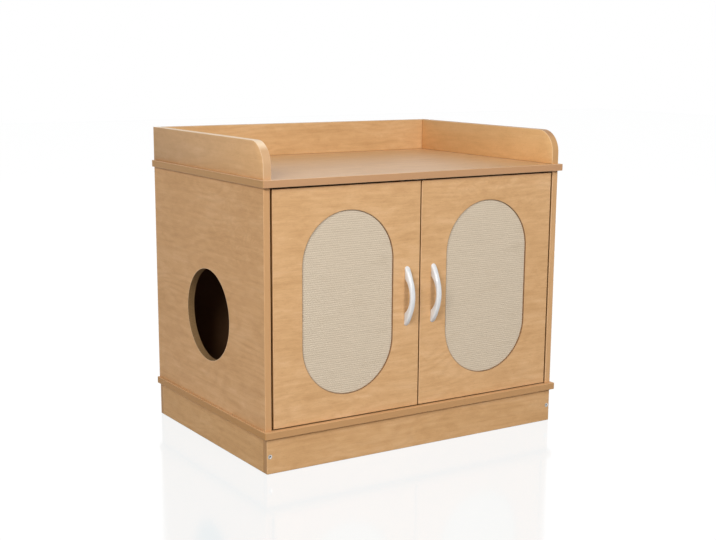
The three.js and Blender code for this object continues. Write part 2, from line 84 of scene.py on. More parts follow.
def addCamera():
    turn, dip, roll = (math.radians(view[key]) for key in ("turn", "dip", "roll"))
    ahead = Vector((math.sin(turn) * math.cos(dip), math.cos(turn) * math.cos(dip), -math.sin(dip)))
    level = Vector((math.cos(turn), -math.sin(turn), 0))
    above = level.cross(ahead)
    right = math.cos(roll) * level + math.sin(roll) * above
    up = math.cos(roll) * above - math.sin(roll) * level
    data = bpy.data.cameras.new("camera")
    data.lens = view["lens"]
    data.sensor_width = view["sensor"]
    data.shift_y = view["shiftY"]
    camera = bpy.data.objects.new("camera", data)
    facing = Matrix((right, up, -ahead)).transposed().to_4x4()
    camera.matrix_world = Matrix.Translation(view["place"]) @ facing
    scene.collection.objects.link(camera)
    scene.camera = camera


class Wire:
    # One output of a shader node. Its operators add Math nodes.
    def __init__(self, finish, socket):
        self.finish = finish
        self.socket = socket

    def math(self, operation, *values):
        return self.finish.add("ShaderNodeMath", {"operation": operation}, values)

    def __add__(self, other):
        return self.math("ADD", self, other)

    def __sub__(self, other):
        return self.math("SUBTRACT", self, other)

    def __rsub__(self, other):
        return self.math("SUBTRACT", other, self)

    def __mul__(self, other):
        return self.math("MULTIPLY", self, other)

    def __truediv__(self, other):
        return self.math("DIVIDE", self, other)

    def __pow__(self, other):
        return self.math("POWER", self, other)

    def __abs__(self):
        return self.math("ABSOLUTE", self)

    __radd__ = __add__
    __rmul__ = __mul__

    def least(self, other):
        return self.math("MINIMUM", self, other)

    def most(self, other):
        return self.math("MAXIMUM", self, other)

    def sine(self):
        return self.math("SINE", self)

    def ease(self, low, high, start=0.0, end=1.0):
        # A smooth step from start to end while this goes from low to high.
        settings = {"interpolation_type": "SMOOTHSTEP"}
        return self.finish.add("ShaderNodeMapRange", settings, (self, low, high, start, end))


class Finish:
    # The node tree of one material or of the world.
    def __init__(self, owner):
        self.owner = owner
        owner.use_nodes = True
        self.tree = owner.node_tree
        self.tree.nodes.clear()

    def add(self, kind, settings=None, values=(), output=0):
        node = self.tree.nodes.new(kind)
        for key, value in (settings or {}).items():
            if key == "stops":
                while len(node.color_ramp.elements) < len(value):
                    node.color_ramp.elements.new(1.0)
                for element, (place, colour) in zip(node.color_ramp.elements, value):
                    element.position = place
                    element.color = colour
            else:
                setattr(node, key, value)
        pairs = values.items() if isinstance(values, dict) else enumerate(values)
        for key, value in pairs:
            if isinstance(value, Wire):
                self.tree.links.new(value.socket, node.inputs[key])
            else:
                node.inputs[key].default_value = value
        return Wire(self, node.outputs[output])

    def mix(self, first, second, share, blend="MIX"):
        settings = {"data_type": "RGBA", "blend_type": blend, "clamp_factor": True}
        return self.add("ShaderNodeMix", settings, {0: share, 6: first, 7: second}, 2)

    def swap(self, first, second, share):
        return self.add("ShaderNodeMix", {"data_type": "VECTOR"}, {0: share, 4: first, 5: second}, 1)

    def stretch(self, vector, lengths, offset=(0, 0, 0)):
        # Scales a vector so that a pattern of unit size is as long as lengths, in its own units.
        scale = tuple(1 / length for length in lengths)
        values = {"Vector": vector, "Location": offset, "Scale": scale}
        return self.add("ShaderNodeMapping", {}, values)

    def noise(self, vector, detail=2.0, roughness=0.5, distortion=0.0):
        values = {"Vector": vector, "Scale": 1.0, "Detail": detail}
        values.update({"Roughness": roughness, "Distortion": distortion})
        return self.add("ShaderNodeTexNoise", {}, values)

    def cells(self, vector):
        # Cells about one unit wide, each with a random colour.
        return self.add("ShaderNodeTexVoronoi", {}, {"Vector": vector, "Scale": 1.0}, "Color")

    def split(self, vector):
        return [self.add("ShaderNodeSeparateXYZ", {}, [vector], axis) for axis in range(3)]

    def join(self, x, y, z):
        return self.add("ShaderNodeCombineXYZ", {}, (x, y, z))

    def hypot(self, a, b):
        return (a * a + b * b) ** 0.5

    def millimetres(self, middle=(0, 0, 0)):
        # Object coordinates in millimetres from a point given in metres.
        place = self.add("ShaderNodeTexCoord", output="Object")
        location = tuple(-value / mm for value in middle)
        values = {"Vector": place, "Location": location, "Scale": (1 / mm,) * 3}
        return self.add("ShaderNodeMapping", {}, values)

    def bump(self, height, distance, strength=1.0):
        values = {"Height": height, "Distance": distance * mm, "Strength": strength}
        return self.add("ShaderNodeBump", {}, values)

    def show(self, shader, kind="ShaderNodeOutputMaterial"):
        end = self.tree.nodes.new(kind)
        self.tree.links.new(shader.socket, end.inputs["Surface"])
        return self.owner

    def surface(self, values):
        return self.show(self.add("ShaderNodeBsdfPrincipled", {}, values))


def material(name):
    return Finish(bpy.data.materials.new(name))


def paint(red, green, blue):
    # A colour written as on a screen, in the renderer's linear values. Each part is 11 to 255: the
    # curve's straight foot, below that, is left out.
    linear = [((part / 255 + 0.055) / 1.055) ** 2.4 for part in (red, green, blue)]
    return (*linear, 1.0)


studio = {
    "around": 0.25,  # plain light from all sides
    "aim": (0, 0, 0.34),
    "lampDistance": 5.4,
    # turn from the cabinet's front towards its right, height above level, size and strength,
    # where a strength of 1 lights a face turned to the lamp just as brightly as it is painted
    "lamps": {
        "leftKey": (-53, 27, 2.1, 0.61),
        "front": (0, 29, 1.35, 0.40),
        "rear": (148, 8, 1.2, 0.42),
    },
    "notMirrored": ("rear",),  # this low lamp behind the cabinet would leave a glare on its top
    "floorSize": 24.0,
    "floorDrop": 0.0002,
    "floorTone": 0.4,  # what plain light meets; the camera sees the floor white
    "floorGloss": (0.19, 0.155, 0.145),  # warm, so that the cabinet's mirror image turns out grey
    "floorBlur": 0.12,
    "floorShade": 0.05,
    "floorShadeFar": 0.0125,  # what the plain light alone adds to the shade, far from the lamps
}


def addLamp(name, turn, height, size, strength):
    turn, height = math.radians(turn), math.radians(height)
    level = math.cos(height)
    away = Vector((math.sin(turn) * level, -math.cos(turn) * level, math.sin(height)))
    data = bpy.data.lights.new(name, "AREA")
    data.size = size
    data.energy = strength * (math.pi * studio["lampDistance"]) ** 2
    lamp = bpy.data.objects.new(name, data)
    lamp.location = Vector(studio["aim"]) + away * studio["lampDistance"]
    lamp.rotation_euler = away.to_track_quat("Z", "Y").to_euler()
    lamp.visible_glossy = name not in studio["notMirrored"]
    scene.collection.objects.link(lamp)


def straightSight(finish):
    # 1 for what the camera sees directly, in a mirror or through glass, and 0 for plain light.
    path = [finish.add("ShaderNodeLightPath", output=name) for name in
            ("Is Camera Ray", "Is Glossy Ray", "Is Transmission Ray")]
    return path[0].most(path[1]).most(path[2])


def addBackdrop():
    world = scene.world or bpy.data.worlds.new("world")
    scene.world = world
    sky = Finish(world)
    plain = sky.add("ShaderNodeBackground", {}, {"Color": (1, 1, 1, 1), "Strength": studio["around"]})
    white = sky.add("ShaderNodeBackground", {}, {"Color": (1, 1, 1, 1), "Strength": 1.0})
    both = sky.add("ShaderNodeMixShader", {}, (straightSight(sky), plain, white))
    sky.show(both, "ShaderNodeOutputWorld")


def addFloor():
    # Seen straight, it is white with the cabinet's shadow and a faint, blurred mirror image.
    ground = material("floor")
    gloss = studio["floorGloss"]
    glow = [1 - studio["floorShadeFar"] - part for part in gloss]
    plainFloor = ground.add("ShaderNodeBsdfDiffuse", {}, {"Color": (*[studio["floorTone"]] * 3, 1)})
    shaded = ground.add("ShaderNodeBsdfDiffuse", {}, {"Color": (*[studio["floorShade"]] * 3, 1)})
    white = ground.add("ShaderNodeEmission", {}, {"Color": (*glow, 1), "Strength": 1.0})
    polish = {"Color": (*gloss, 1), "Roughness": studio["floorBlur"]}
    mirror = ground.add("ShaderNodeBsdfAnisotropic", {}, polish)
    seen = ground.add("ShaderNodeAddShader", {}, (shaded, white))
    seen = ground.add("ShaderNodeAddShader", {}, (seen, mirror))
    both = ground.add("ShaderNodeMixShader", {}, (straightSight(ground), plainFloor, seen))

    bm = bmesh.new()
    bmesh.ops.create_grid(bm, x_segments=1, y_segments=1, size=studio["floorSize"] / 2)
    bmesh.ops.translate(bm, verts=bm.verts, vec=(0, 0, -studio["floorDrop"]))
    addMesh("floor", bm, ground.show(both))


# Mesh helpers

def addMesh(name, bm, finish, smooth=None):
    mesh = bpy.data.meshes.new(name)
    for face in bm.faces:
        face.smooth = smooth is not None
    bm.to_mesh(mesh)
    bm.free()
    if smooth is not None:
        mesh.set_sharp_from_angle(angle=math.radians(smooth))
    mesh.materials.append(finish)
    made = bpy.data.objects.new(name, mesh)
    scene.collection.objects.link(made)
    return made


def addPiece(name, bm, finish, body, smooth=40.0, replaces=()):
    made = addMesh(name, bm, finish, smooth)
    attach(made, body)
    if replaces:
        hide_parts(*replaces)
    return made


def dress(name, finish):
    # A CAD node keeps its own mesh and takes a finish.
    made = nodes[name]
    if made.material_slots:
        made.material_slots[0].material = finish
    else:
        made.data.materials.append(finish)


def roundedCopy(name, finish, sharp=35.0):
    # The same shape as the CAD node, its loose triangles merged, so that its curves shade smoothly.
    bm = bmesh.new()
    bm.from_mesh(nodes[name].data)
    for layer in list(bm.loops.layers.float_vector):
        bm.loops.layers.float_vector.remove(layer)
    bmesh.ops.remove_doubles(bm, verts=bm.verts, dist=0.005 * mm)
    bmesh.ops.dissolve_limit(bm, angle_limit=math.radians(0.2), verts=bm.verts, edges=bm.edges)
    bmesh.ops.triangulate(bm, faces=[face for face in bm.faces if len(face.verts) > 4])
    return addPiece(f"{name}_smooth", bm, finish, nodes[name]["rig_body"], sharp, [name])


# Beech foil on board

beech = {
    "pale": (223, 182, 137),
    "plain": (213, 169, 121),
    "deep": (199, 155, 107),
    "stops": {"deep": 0.36, "plain": 0.50, "pale": 0.64},  # where the tones lie on the mixed noise
    "share": {"cloud": 0.24, "patch": 0.34, "streak": 0.19, "grain": 0.23},  # of each noise in it
    "cloud": (210, 75, 75),  # lengths along the grain, across it, and through the board
    "patch": (46, 17, 17),
    "streak": (260, 8, 8),
    "grain": (40, 1.3, 1.3),
    "figure": (178, 133, 88),
    "ringField": (300, 85, 85),
    "curlField": (48, 26, 26),
    "curlRings": 7,
    "fleck": (160, 114, 74),
    "fleckSize": (6, 0.75, 0.75),
    "fleckShare": 0.28,
    "edge": (200, 156, 110),  # the edge band's own tone
    # pale wear on edges, also painted highlight on edges and painted sheen on faces turned up
    "paleWearAndHighlight": (244, 217, 183),
    "inside": (138, 92, 40),  # painted shade: the dark tone of the faces round the litter room and of the gaps round the doors
    "raw": (150, 118, 80),  # cut board in bores and recesses
    "rawDark": (114, 86, 54),
    "chip": 1.3,
    # dark joints between boards, also painted shade where boards meet and round the doors' recesses
    "seamAndShade": (112, 76, 46),
    "seamAndShadeWidth": 1.3,
    "rough": 0.47,
    "bandRough": 0.34,
    "turned": (0.6, 0.8),  # how squarely a face looks along an axis before it counts as turned to it
    "gapShadeStart": 0.8,  # how far behind the doors' faces the painted shade in the gaps round them starts
    "gapShadeStartRight": 2.4,  # the same at the right side, where more light gets in
}
axisOf = {"x": 0, "y": 1, "z": 2}


def litterRoomShade(node, x, y, z):
    # Painted shade: 1 on the faces round the litter room and in the gaps round the doors, 0 elsewhere.
    # The places are the row's, in millimetres. The doors' backs stay light.
    if node.endswith("door"):
        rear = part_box(node)[1].y - mm / 2
    else:
        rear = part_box("back_panel")[0].y + mm
    walls = [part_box("left_side")[1].x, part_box("right_side")[0].x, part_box("left_door")[0].y, rear,
             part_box("bottom_board")[1].z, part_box("top_board")[0].z]
    left, right, front, rear, floor, ceiling = [wall / mm for wall in walls]
    front = x.ease(left / 2, right, front + beech["gapShadeStart"], front + beech["gapShadeStartRight"])
    depth = (x - left).least(right - x)
    for other in (y - front, rear - y, z - floor, ceiling - z):
        depth = depth.least(other)
    return depth.ease(-0.4, -0.1)


def toEnds(places, half, ends):
    # Distance in millimetres to the nearest of a board's ends, such as "z-" and "x+".
    nearest = None
    for end in ends:
        axis = axisOf[end[0]]
        away = places[axis] * (-1 if end[1] == "+" else 1) + half[axis]
        nearest = away if nearest is None else nearest.least(away)
    return nearest


galleryCorner = 50


def roundedCorner(f, y, z, half):
    # Distance inside a gallery side's outline at the front and the top, whose corner is round.
    toFront = (y * -1 - (half[1] - galleryCorner)).most(0.0)
    toTop = (z - (half[2] - galleryCorner)).most(0.0)
    return (galleryCorner - f.hypot(toFront, toTop)).least(half[1] - y)


catHole = {"radius": 101, "y": 7, "z": 289}


def catHoleEdge(f, x, y, z):
    # Distance outside the round hole, negative within it. The hole runs through along x.
    low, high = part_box("left_side")
    middle = (low + high) / 2 / mm
    return f.hypot(y - (catHole["y"] - middle.y), z - (catHole["z"] - middle.z)) - catHole["radius"]


recess = {"fit": 0.3, "behindFloor": 0.5}


def recessEdge(f, x, y, z):
    # Distance outside the mat's recess, whose ends are half circles. Behind its floor it ends.
    low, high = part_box("left_scratch_mat")
    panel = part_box("left_door")
    radius = (high.x - low.x) / 2 / mm + recess["fit"]
    straight = (high.z - low.z) / 2 / mm + recess["fit"] - radius
    floor = (high.y - (panel[0].y + panel[1].y) / 2) / mm
    beyond = (abs(z) - straight).most(0.0)
    return (f.hypot(x, beyond) - radius).most(y - floor - recess["behindFloor"])


def beechFigure(f, spot, cloud, shift, figure):
    # Growth rings, sawn through at a slant: contours that wander along the grain into long arches.
    along, across, _ = f.split(spot)
    swell = f.noise(f.stretch(spot, beech["ringField"], shift), 1.0, 0.4)
    ring = (across + along * figure["slope"]) / figure["pitch"] + swell * figure["swell"]
    rings = (ring * (2 * math.pi)).sine() * 0.5 + 0.5
    rings = rings ** 2.2 * cloud.ease(0.3, 0.62, 0.35, 1.0)

    # A curl of short wavy lines, in one patch of the board.
    curlAlong, curlAcross, reach = figure["curl"]
    fromCurl = f.hypot((along - curlAlong) * 0.75, across - curlAcross)
    field = f.noise(f.stretch(spot, beech["curlField"], shift), 1.0, 0.4)
    curls = (field * (2 * math.pi * beech["curlRings"])).sine() * 0.5 + 0.5
    curls = curls * fromCurl.ease(reach, reach * 0.35)
    return rings.most(curls) * figure["strength"]


def beechPrint(f, spot, figure):
    # The foil's printed tone, and the noises that the edges and the gloss share with it.
    shift = tuple(figure["seed"] * step for step in (13.7, 7.3, 3.1))
    cloud = f.noise(f.stretch(spot, beech["cloud"], shift), 2.0)
    patch = f.noise(f.stretch(spot, beech["patch"], shift), 3.0, 0.6, 0.6)
    streak = f.noise(f.stretch(spot, beech["streak"], shift), 2.0, 0.5, 0.2)
    grain = f.noise(f.stretch(spot, beech["grain"], shift), 3.0, 0.6)
    fleck = f.noise(f.stretch(spot, beech["fleckSize"], shift), 1.0)
    share = beech["share"]
    mixed = cloud * share["cloud"] + patch * share["patch"]
    mixed = mixed + streak * share["streak"] + grain * share["grain"]
    mixed = (mixed - 0.5) * figure["contrast"] + 0.5
    stops = [(start, paint(*beech[tone])) for tone, start in beech["stops"].items()]
    wooden = f.add("ShaderNodeValToRGB", {"stops": stops}, [mixed])
    wooden = f.mix(wooden, paint(*beech["figure"]), beechFigure(f, spot, cloud, shift, figure))
    dashes = fleck.ease(0.6, 0.72) * beech["fleckShare"]
    return f.mix(wooden, paint(*beech["fleck"]), dashes), streak, grain, dashes


def beechFinish(name, node, along, thick, figure, cutOut=None):
    low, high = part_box(node)
    middle, half = (low + high) / 2, (high - low) / 2 / mm
    across = next(axis for axis in "xyz" if axis not in (along, thick))
    order = [axisOf[axis] for axis in (along, across, thick)]
    f = material(name)
    place = f.millimetres(middle)
    xyz = f.split(place)

    # The grain runs along the board. On its two ends the edge band's grain runs across it.
    facing = f.split(f.add("ShaderNodeTexCoord", output="Normal"))
    onEnd = abs(facing[order[0]]).ease(*beech["turned"])
    onFace = abs(facing[order[2]]).ease(*beech["turned"])
    wood = [xyz[axis] for axis in order]
    spot = f.swap(f.join(*wood), f.join(wood[1], wood[2], wood[0]), onEnd)
    wooden, streak, grain, dashes = beechPrint(f, spot, figure)

    # The edge band has its own tone. Faces turned up, such as the gallery's top, are lightened: painted
    # sheen.
    band = f.mix(paint(*figure["edge"]), paint(*figure["end"]), onEnd)
    wooden = f.mix(wooden, band, (1 - onFace) * figure["band"])
    wooden = f.mix(wooden, paint(*beech["paleWearAndHighlight"]), facing[2].ease(0.6, 0.9) * figure["topSheen"])

    # The corners of open edges and the rims of holes are made pale: partly wear, partly a painted highlight
    # where a rounded edge would catch light.
    butted = figure["butted"].split()
    openEnds = [axis + way for axis in (along, across) for way in "-+" if axis + way not in butted]
    edge = toEnds(xyz, half, openEnds) if openEnds else figure["rubAndHighlightWidth"]
    if figure["rounded"]:
        edge = roundedCorner(f, xyz[1], xyz[2], half)
    rim = (half[axisOf[thick]] - abs(xyz[axisOf[thick]])).most(edge)
    holes = cutOut(f, *xyz) if cutOut else None
    if holes:
        rim = rim.least(abs(holes))
    wearAndHighlight = rim.ease(figure["rubAndHighlightWidth"], 0.2) * streak.ease(0.35, 0.6, 0.35, 0.7) * figure["rubAndHighlight"]
    if holes:
        wearAndHighlight = wearAndHighlight.most(abs(holes).ease(1.5, 0.4) * figure["holeRubAndHighlight"])
    wooden = f.mix(wooden, paint(*beech["paleWearAndHighlight"]), wearAndHighlight)

    # Painted shade: a recess has a dark line round it. Butted ends show a dark joint, which also paints the
    # shade where the boards meet.
    if figure["holeShade"]:
        wooden = f.mix(wooden, paint(*beech["seamAndShade"]), holes.ease(1.9, 0.3) * figure["holeShade"])
    if butted:
        seamAndShade = toEnds(xyz, half, butted).ease(beech["seamAndShadeWidth"], 0.3) * onFace
        wooden = f.mix(wooden, paint(*beech["seamAndShade"]), seamAndShade * figure["seamAndShade"])
    # Painted shade: the faces round the litter room and the gaps round the doors take a dark tone.
    inside = litterRoomShade(node, *f.split(f.millimetres()))
    wooden = f.mix(wooden, paint(*beech["inside"]), inside * (0.8 - grain * 0.2))
    # Painted light and shade: a colour factor per board, which lightens the gallery's right side as if lit
    # by bounce light and darkens and warms shaded faces.
    wooden = f.mix(wooden, (*figure["lightAndShadeTint"], 1), 1.0, "MULTIPLY")
    rough = onFace.ease(0.0, 1.0, beech["bandRough"], beech["rough"]) + grain * 0.1 + wearAndHighlight * 0.1
    height = grain * 0.5 - dashes
    if holes:
        # Cut edges show the board's chips.
        chip = f.split(f.cells(f.stretch(place, (beech["chip"],) * 3)))[0]
        bare = holes.ease(0.25, 0.12)
        rawTone = f.mix(paint(*figure["raw"]), paint(*figure["rawDark"]), chip * 0.45)
        wooden = f.mix(wooden, rawTone, bare)
        rough = rough + bare * 0.35
        height = height + bare * chip * 4.0
    return f.surface({"Base Color": wooden, "Roughness": rough, "Specular IOR Level": 0.15,
                      "Coat Weight": onFace * figure["coat"], "Coat Roughness": 0.3,
                      "Normal": f.bump(height, 0.06, 0.6)})


calm = {
    "slope": 0.02,  # of the growth rings, against the grain
    "pitch": 30,
    "swell": 9,
    "strength": 0.15,
    "curl": (0, 900, 1),  # place along and across the board, and reach; here it lies off the board
    "contrast": 1.0,
    # a colour factor per board that paints light and shade into it
    "lightAndShadeTint": (1, 1, 1),
    "coat": 0,
    "band": 0.5,  # how much of the edge band's tone the edges take
    "edge": beech["edge"],
    "end": beech["edge"],
    "butted": "",  # the ends that stand against another board
    # how dark the joint and its painted shade are at butted ends
    "seamAndShade": 0.6,
    "rounded": False,
    # pale wear and painted highlight along open edges and round holes; painted sheen on faces turned up
    "rubAndHighlight": 1.0,
    "rubAndHighlightWidth": 1.0,
    "topSheen": 0,
    "holeRubAndHighlight": 0.15,
    "holeShade": 0,
    "raw": beech["raw"],
    "rawDark": beech["rawDark"],
}
gallerySide = {
    "pitch": 22,
    "contrast": 0.6,
    "band": 0.9,
    "edge": (199, 159, 118),
    "end": (201, 162, 122),
    "butted": "z-",
    "rounded": True,
    "rubAndHighlight": 0.8,
    "rubAndHighlightWidth": 1.5,
}
door = {"raw": (150, 112, 76), "rawDark": (128, 92, 60), "holeRubAndHighlight": 0, "holeShade": 0.42}
plinthCap = {"band": 0.9, "end": (176, 132, 82), "butted": "z- z+"}
shelf = {"band": 1.0, "edge": (190, 146, 107), "end": (180, 135, 90), "rubAndHighlight": 0.55}
boards = [
    # node, axis of the grain, axis of the thickness, what differs from a calm board
    ("left_side", "y", "x", {"slope": 0.14, "pitch": 26, "strength": 0.19, "curl": (-170, 150, 120),
                             "butted": "z- z+", "band": 0.9, "holeRubAndHighlight": 0.8, "rubAndHighlight": 0.25,
                             "lightAndShadeTint": (0.96, 0.93, 0.90)}),
    ("right_side", "y", "x", {"slope": -0.08, "pitch": 28, "butted": "z- z+"}),
    ("left_door", "x", "y", {**door, "slope": 0.03, "pitch": 27}),
    ("right_door", "x", "y", {**door, "slope": -0.12, "pitch": 24, "strength": 0.18,
                              "curl": (10, 215, 130)}),
    ("top_board", "x", "z", {**shelf, "pitch": 30, "end": (184, 140, 90), "coat": 0.55}),
    ("bottom_board", "x", "z", {**shelf, "pitch": 28, "edge": (188, 144, 98), "end": (179, 131, 74),
                                "rubAndHighlight": 0.2}),
    ("gallery_left", "y", "x", {**gallerySide, "seed": 23, "topSheen": 1.0, "seamAndShade": 0.3}),
    ("gallery_right", "y", "x", {**gallerySide, "slope": 0.06, "edge": (176, 133, 98),
                                 "end": (186, 144, 102), "lightAndShadeTint": (1.1, 1.1, 1.0)}),
    ("gallery_back", "x", "y", {"pitch": 22, "butted": "z- x- x+", "lightAndShadeTint": (0.93, 0.95, 0.93)}),
    ("plinth_front", "x", "y", {**plinthCap, "pitch": 19, "swell": 12, "lightAndShadeTint": (0.93, 0.92, 0.89)}),
    ("plinth_back", "x", "y", {**plinthCap, "pitch": 22}),
    ("plinth_left", "y", "x", {"pitch": 20, "butted": "z- z+ y- y+", "lightAndShadeTint": (0.93, 0.91, 0.83)}),
    ("plinth_right", "y", "x", {"pitch": 22, "butted": "z- z+ y- y+"}),
]
cutOuts = {"left_side": catHoleEdge, "left_door": recessEdge, "right_door": recessEdge}
curvedBoards = ("left_side", "gallery_left", "gallery_right")


def addBoards():
    for seed, (node, along, thick, own) in enumerate(boards, start=1):
        figure = {"seed": seed, **calm, **own}
        finish = beechFinish(f"beech_{node}", node, along, thick, figure, cutOuts.get(node))
        if node in curvedBoards:
            roundedCopy(node, finish)
        else:
            dress(node, finish)
    print("boards dressed:", len(boards))


# Back panel

hardboard = {
    # the inner face's print, dark brown: partly the hardboard's own brown, partly painted shade of the
    # closed litter room
    "print": (124, 88, 58),
    "printDeep": (108, 75, 48),
    "rear": (126, 90, 60),
    "rearDark": (92, 63, 41),
    "streak": (380, 30, 12),
    "grain": (50, 2, 1.5),
    "felt": (3.0, 3.0, 3.0),
}


def addBackPanel():
    low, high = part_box("back_panel")
    middle = (low + high) / 2
    f = material("hardboard")
    place = f.millimetres(middle)
    depth = f.split(place)[1]
    streak = f.noise(f.stretch(place, hardboard["streak"]), 3.0)
    grain = f.noise(f.stretch(place, hardboard["grain"]), 3.0)
    # The inner face is painted dark, partly as shade of the closed litter room.
    front = f.mix(paint(*hardboard["print"]), paint(*hardboard["printDeep"]), streak * 0.6 + grain * 0.4)
    felt = f.noise(f.stretch(place, hardboard["felt"]), 5.0, 0.7)
    rear = f.mix(paint(*hardboard["rear"]), paint(*hardboard["rearDark"]), felt.ease(0.35, 0.7))
    behind = depth.ease(-1.2, -1.0)
    tone = f.mix(front, rear, behind)
    rough = behind * 0.25 + 0.6
    normal = f.bump(felt * behind, 0.3, 0.5)
    dress("back_panel", f.surface({"Base Color": tone, "Roughness": rough, "Normal": normal}))
    print("back panel dressed")


# Sisal mats

sisal = {
    "plain": (209, 193, 171),
    "pale": (225, 212, 191),
    "dark": (166, 146, 118),
    # painted shade in the grooves between the ribs
    "groove": (146, 126, 100),
    "ribPitch": 4.6,
    "ribRise": 0.75,
    "waver": 0.4,  # how far a rib strays, in ribs, and over what length
    "waverLength": 26,
    "thinRibs": 0.5,  # how much flatter the thinnest ribs are
    "loopPitch": 5.2,
    "loopRise": 0.3,
    "rowsPerRib": 5,
    "columnsPerLoop": 4,
    "edgeFall": 1.2,  # width of the rounded rim
    "twist": (4.0, 0.5, 0.5),
    "fibre": (2.2, 0.16, 0.16),
    "patch": (60, 60, 22),
    "rim": (140, 104, 70),  # painted shade: the mat's edge, darkened as under the recess's rim
    "rimShadeWidth": 2.2,
    "rimShadeShare": 0.42,
}


def sisalFinish(name, low, high):
    middle = (low + high) / 2
    f = material(name)
    place = f.millimetres((middle.x, middle.y, low.z))
    x, _, z = f.split(place)
    twist = f.noise(f.stretch(place, sisal["twist"]), 3.0, 0.6)
    fibre = f.noise(f.stretch(place, sisal["fibre"]), 2.0)
    patch = f.noise(f.stretch(place, sisal["patch"]), 2.0)
    rib = (z * (2 * math.pi / sisal["ribPitch"]) - math.pi / 2).sine() * 0.5 + 0.5
    tone = f.mix(paint(*sisal["plain"]), paint(*sisal["pale"]), fibre.ease(0.45, 0.75) * 0.6)
    tone = f.mix(tone, paint(*sisal["dark"]), twist.ease(0.55, 0.8) * 0.45)
    tone = f.mix(tone, paint(*sisal["dark"]), patch.ease(0.5, 0.8) * 0.12)
    # Painted shade in the grooves between the ribs.
    tone = f.mix(tone, paint(*sisal["groove"]), rib.ease(0.35, 0.0) * 0.3)
    # Painted shade along the mat's rim, as under the recess's edge.
    radius, half = (high.x - low.x) / 2 / mm, (high.z - low.z) / 2 / mm
    toRim = radius - f.hypot(x, (abs(z - half) - (half - radius)).most(0.0))
    tone = f.mix(tone, paint(*sisal["rim"]), toRim.ease(sisal["rimShadeWidth"], 0.2) * sisal["rimShadeShare"])
    height = fibre * 0.6 + twist
    return f.surface({"Base Color": tone, "Roughness": 0.95, "Specular IOR Level": 0.1,
                      "Normal": f.bump(height, 0.25, 0.7)})


def addMat(side, seed):
    # Ribbed boucle weave, cut to the recess, with its rim and back closed.
    node = f"{side}_scratch_mat"
    low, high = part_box(node)
    middle = (low + high) / 2
    width, height = high.x - low.x, high.z - low.z
    radius = width / 2
    straight = height / 2 - radius
    ribs = round(height / mm / sisal["ribPitch"])
    loops = round(width / mm / sisal["loopPitch"])
    turn = 2 * math.pi
    columns, rows = loops * sisal["columnsPerLoop"], ribs * sisal["rowsPerRib"]
    bm = bmesh.new()
    bmesh.ops.create_grid(bm, x_segments=columns, y_segments=rows, size=0.5)
    trim = 0.9995  # the first and last row stop short of a point
    for vertex in bm.verts:
        up = vertex.co.y * height * trim
        beyond = max(abs(up) - straight, 0)
        reach = math.sqrt(radius * radius - beyond * beyond)
        across = vertex.co.x * 2 * reach
        spot = Vector((across / sisal["waverLength"], up / sisal["ribPitch"], seed * 10.0)) / mm
        ribPhase = (up + height / 2) / mm / sisal["ribPitch"] + sisal["waver"] * noise.noise(spot)
        rib = math.sqrt(abs(math.sin(math.pi * ribPhase)))
        stagger = 0.5 * (math.floor(ribPhase) % 2)
        loop = math.sin(turn * (across / mm / sisal["loopPitch"] + stagger)) * rib
        fullness = 1 - sisal["thinRibs"] * (0.5 - 0.5 * noise.noise(spot * 0.7))
        rise = rib * sisal["ribRise"] * fullness + loop * sisal["loopRise"] / 2
        toEdge = min(reach - abs(across), radius - beyond if beyond else radius) / mm
        fall = max(1 - toEdge / sisal["edgeFall"], 0) ** 2
        depth = sisal["ribRise"] + sisal["loopRise"] / 2 - rise + fall * sisal["edgeFall"] / 2
        vertex.co = Vector((middle.x + across, low.y + depth * mm, middle.z + up))
    rimEdges = [edge for edge in bm.edges if edge.is_boundary]
    walls = bmesh.ops.extrude_edge_only(bm, edges=rimEdges)
    for vertex in (item for item in walls["geom"] if isinstance(item, bmesh.types.BMVert)):
        vertex.co.y = high.y
    bmesh.ops.holes_fill(bm, edges=[edge for edge in bm.edges if edge.is_boundary])
    bmesh.ops.recalc_face_normals(bm, faces=bm.faces)
    finish = sisalFinish(f"sisal_{side}", low, high)
    made = addPiece(f"{side}_sisal_mat", bm, finish, f"{side}_door", 60, [node])


# Bow handles

handle = {
    "length": 130,
    "width": 12,
    "rise": 26,  # door's face to the outside of the bow
    "gap": 18.5,  # door's face to its inside
    "opening": 72,  # length of the finger gap at the door's face
    "squareness": 3.2,  # 2 is an ellipse, more is boxier
    "stations": 96,
    "facets": 40,
    "sunk": 2.0,  # the feet's ends start this far behind the door's face, and are cut off
    "seat": 0.05,  # in front of the door's face, where they are cut
    "white": (221, 222, 222),
    "shade": (210, 211, 212),
}


def handleFinish():
    f = material("white_handle")
    place = f.millimetres()
    mottle = f.noise(f.stretch(place, (14, 14, 26)), 2.0)
    speck = f.noise(f.stretch(place, (0.5, 0.5, 0.5)), 2.0)
    tone = f.mix(paint(*handle["white"]), paint(*handle["shade"]), mottle.ease(0.35, 0.7))
    rough = mottle * 0.08 + 0.26
    return f.surface({"Base Color": tone, "Roughness": rough, "Coat Weight": 0.15,
                      "Normal": f.bump(speck, 0.02, 0.4)})


def bowRise(chord, rise, along):
    # Height of an arc over a chord, at a distance along it from the middle.
    radius = (chord * chord / 4 + rise * rise) / (2 * rise)
    inside = max(radius * radius - along * along, 0)
    return math.sqrt(inside) - (radius - rise)


def power(value, exponent):
    return math.copysign(abs(value) ** exponent, value)


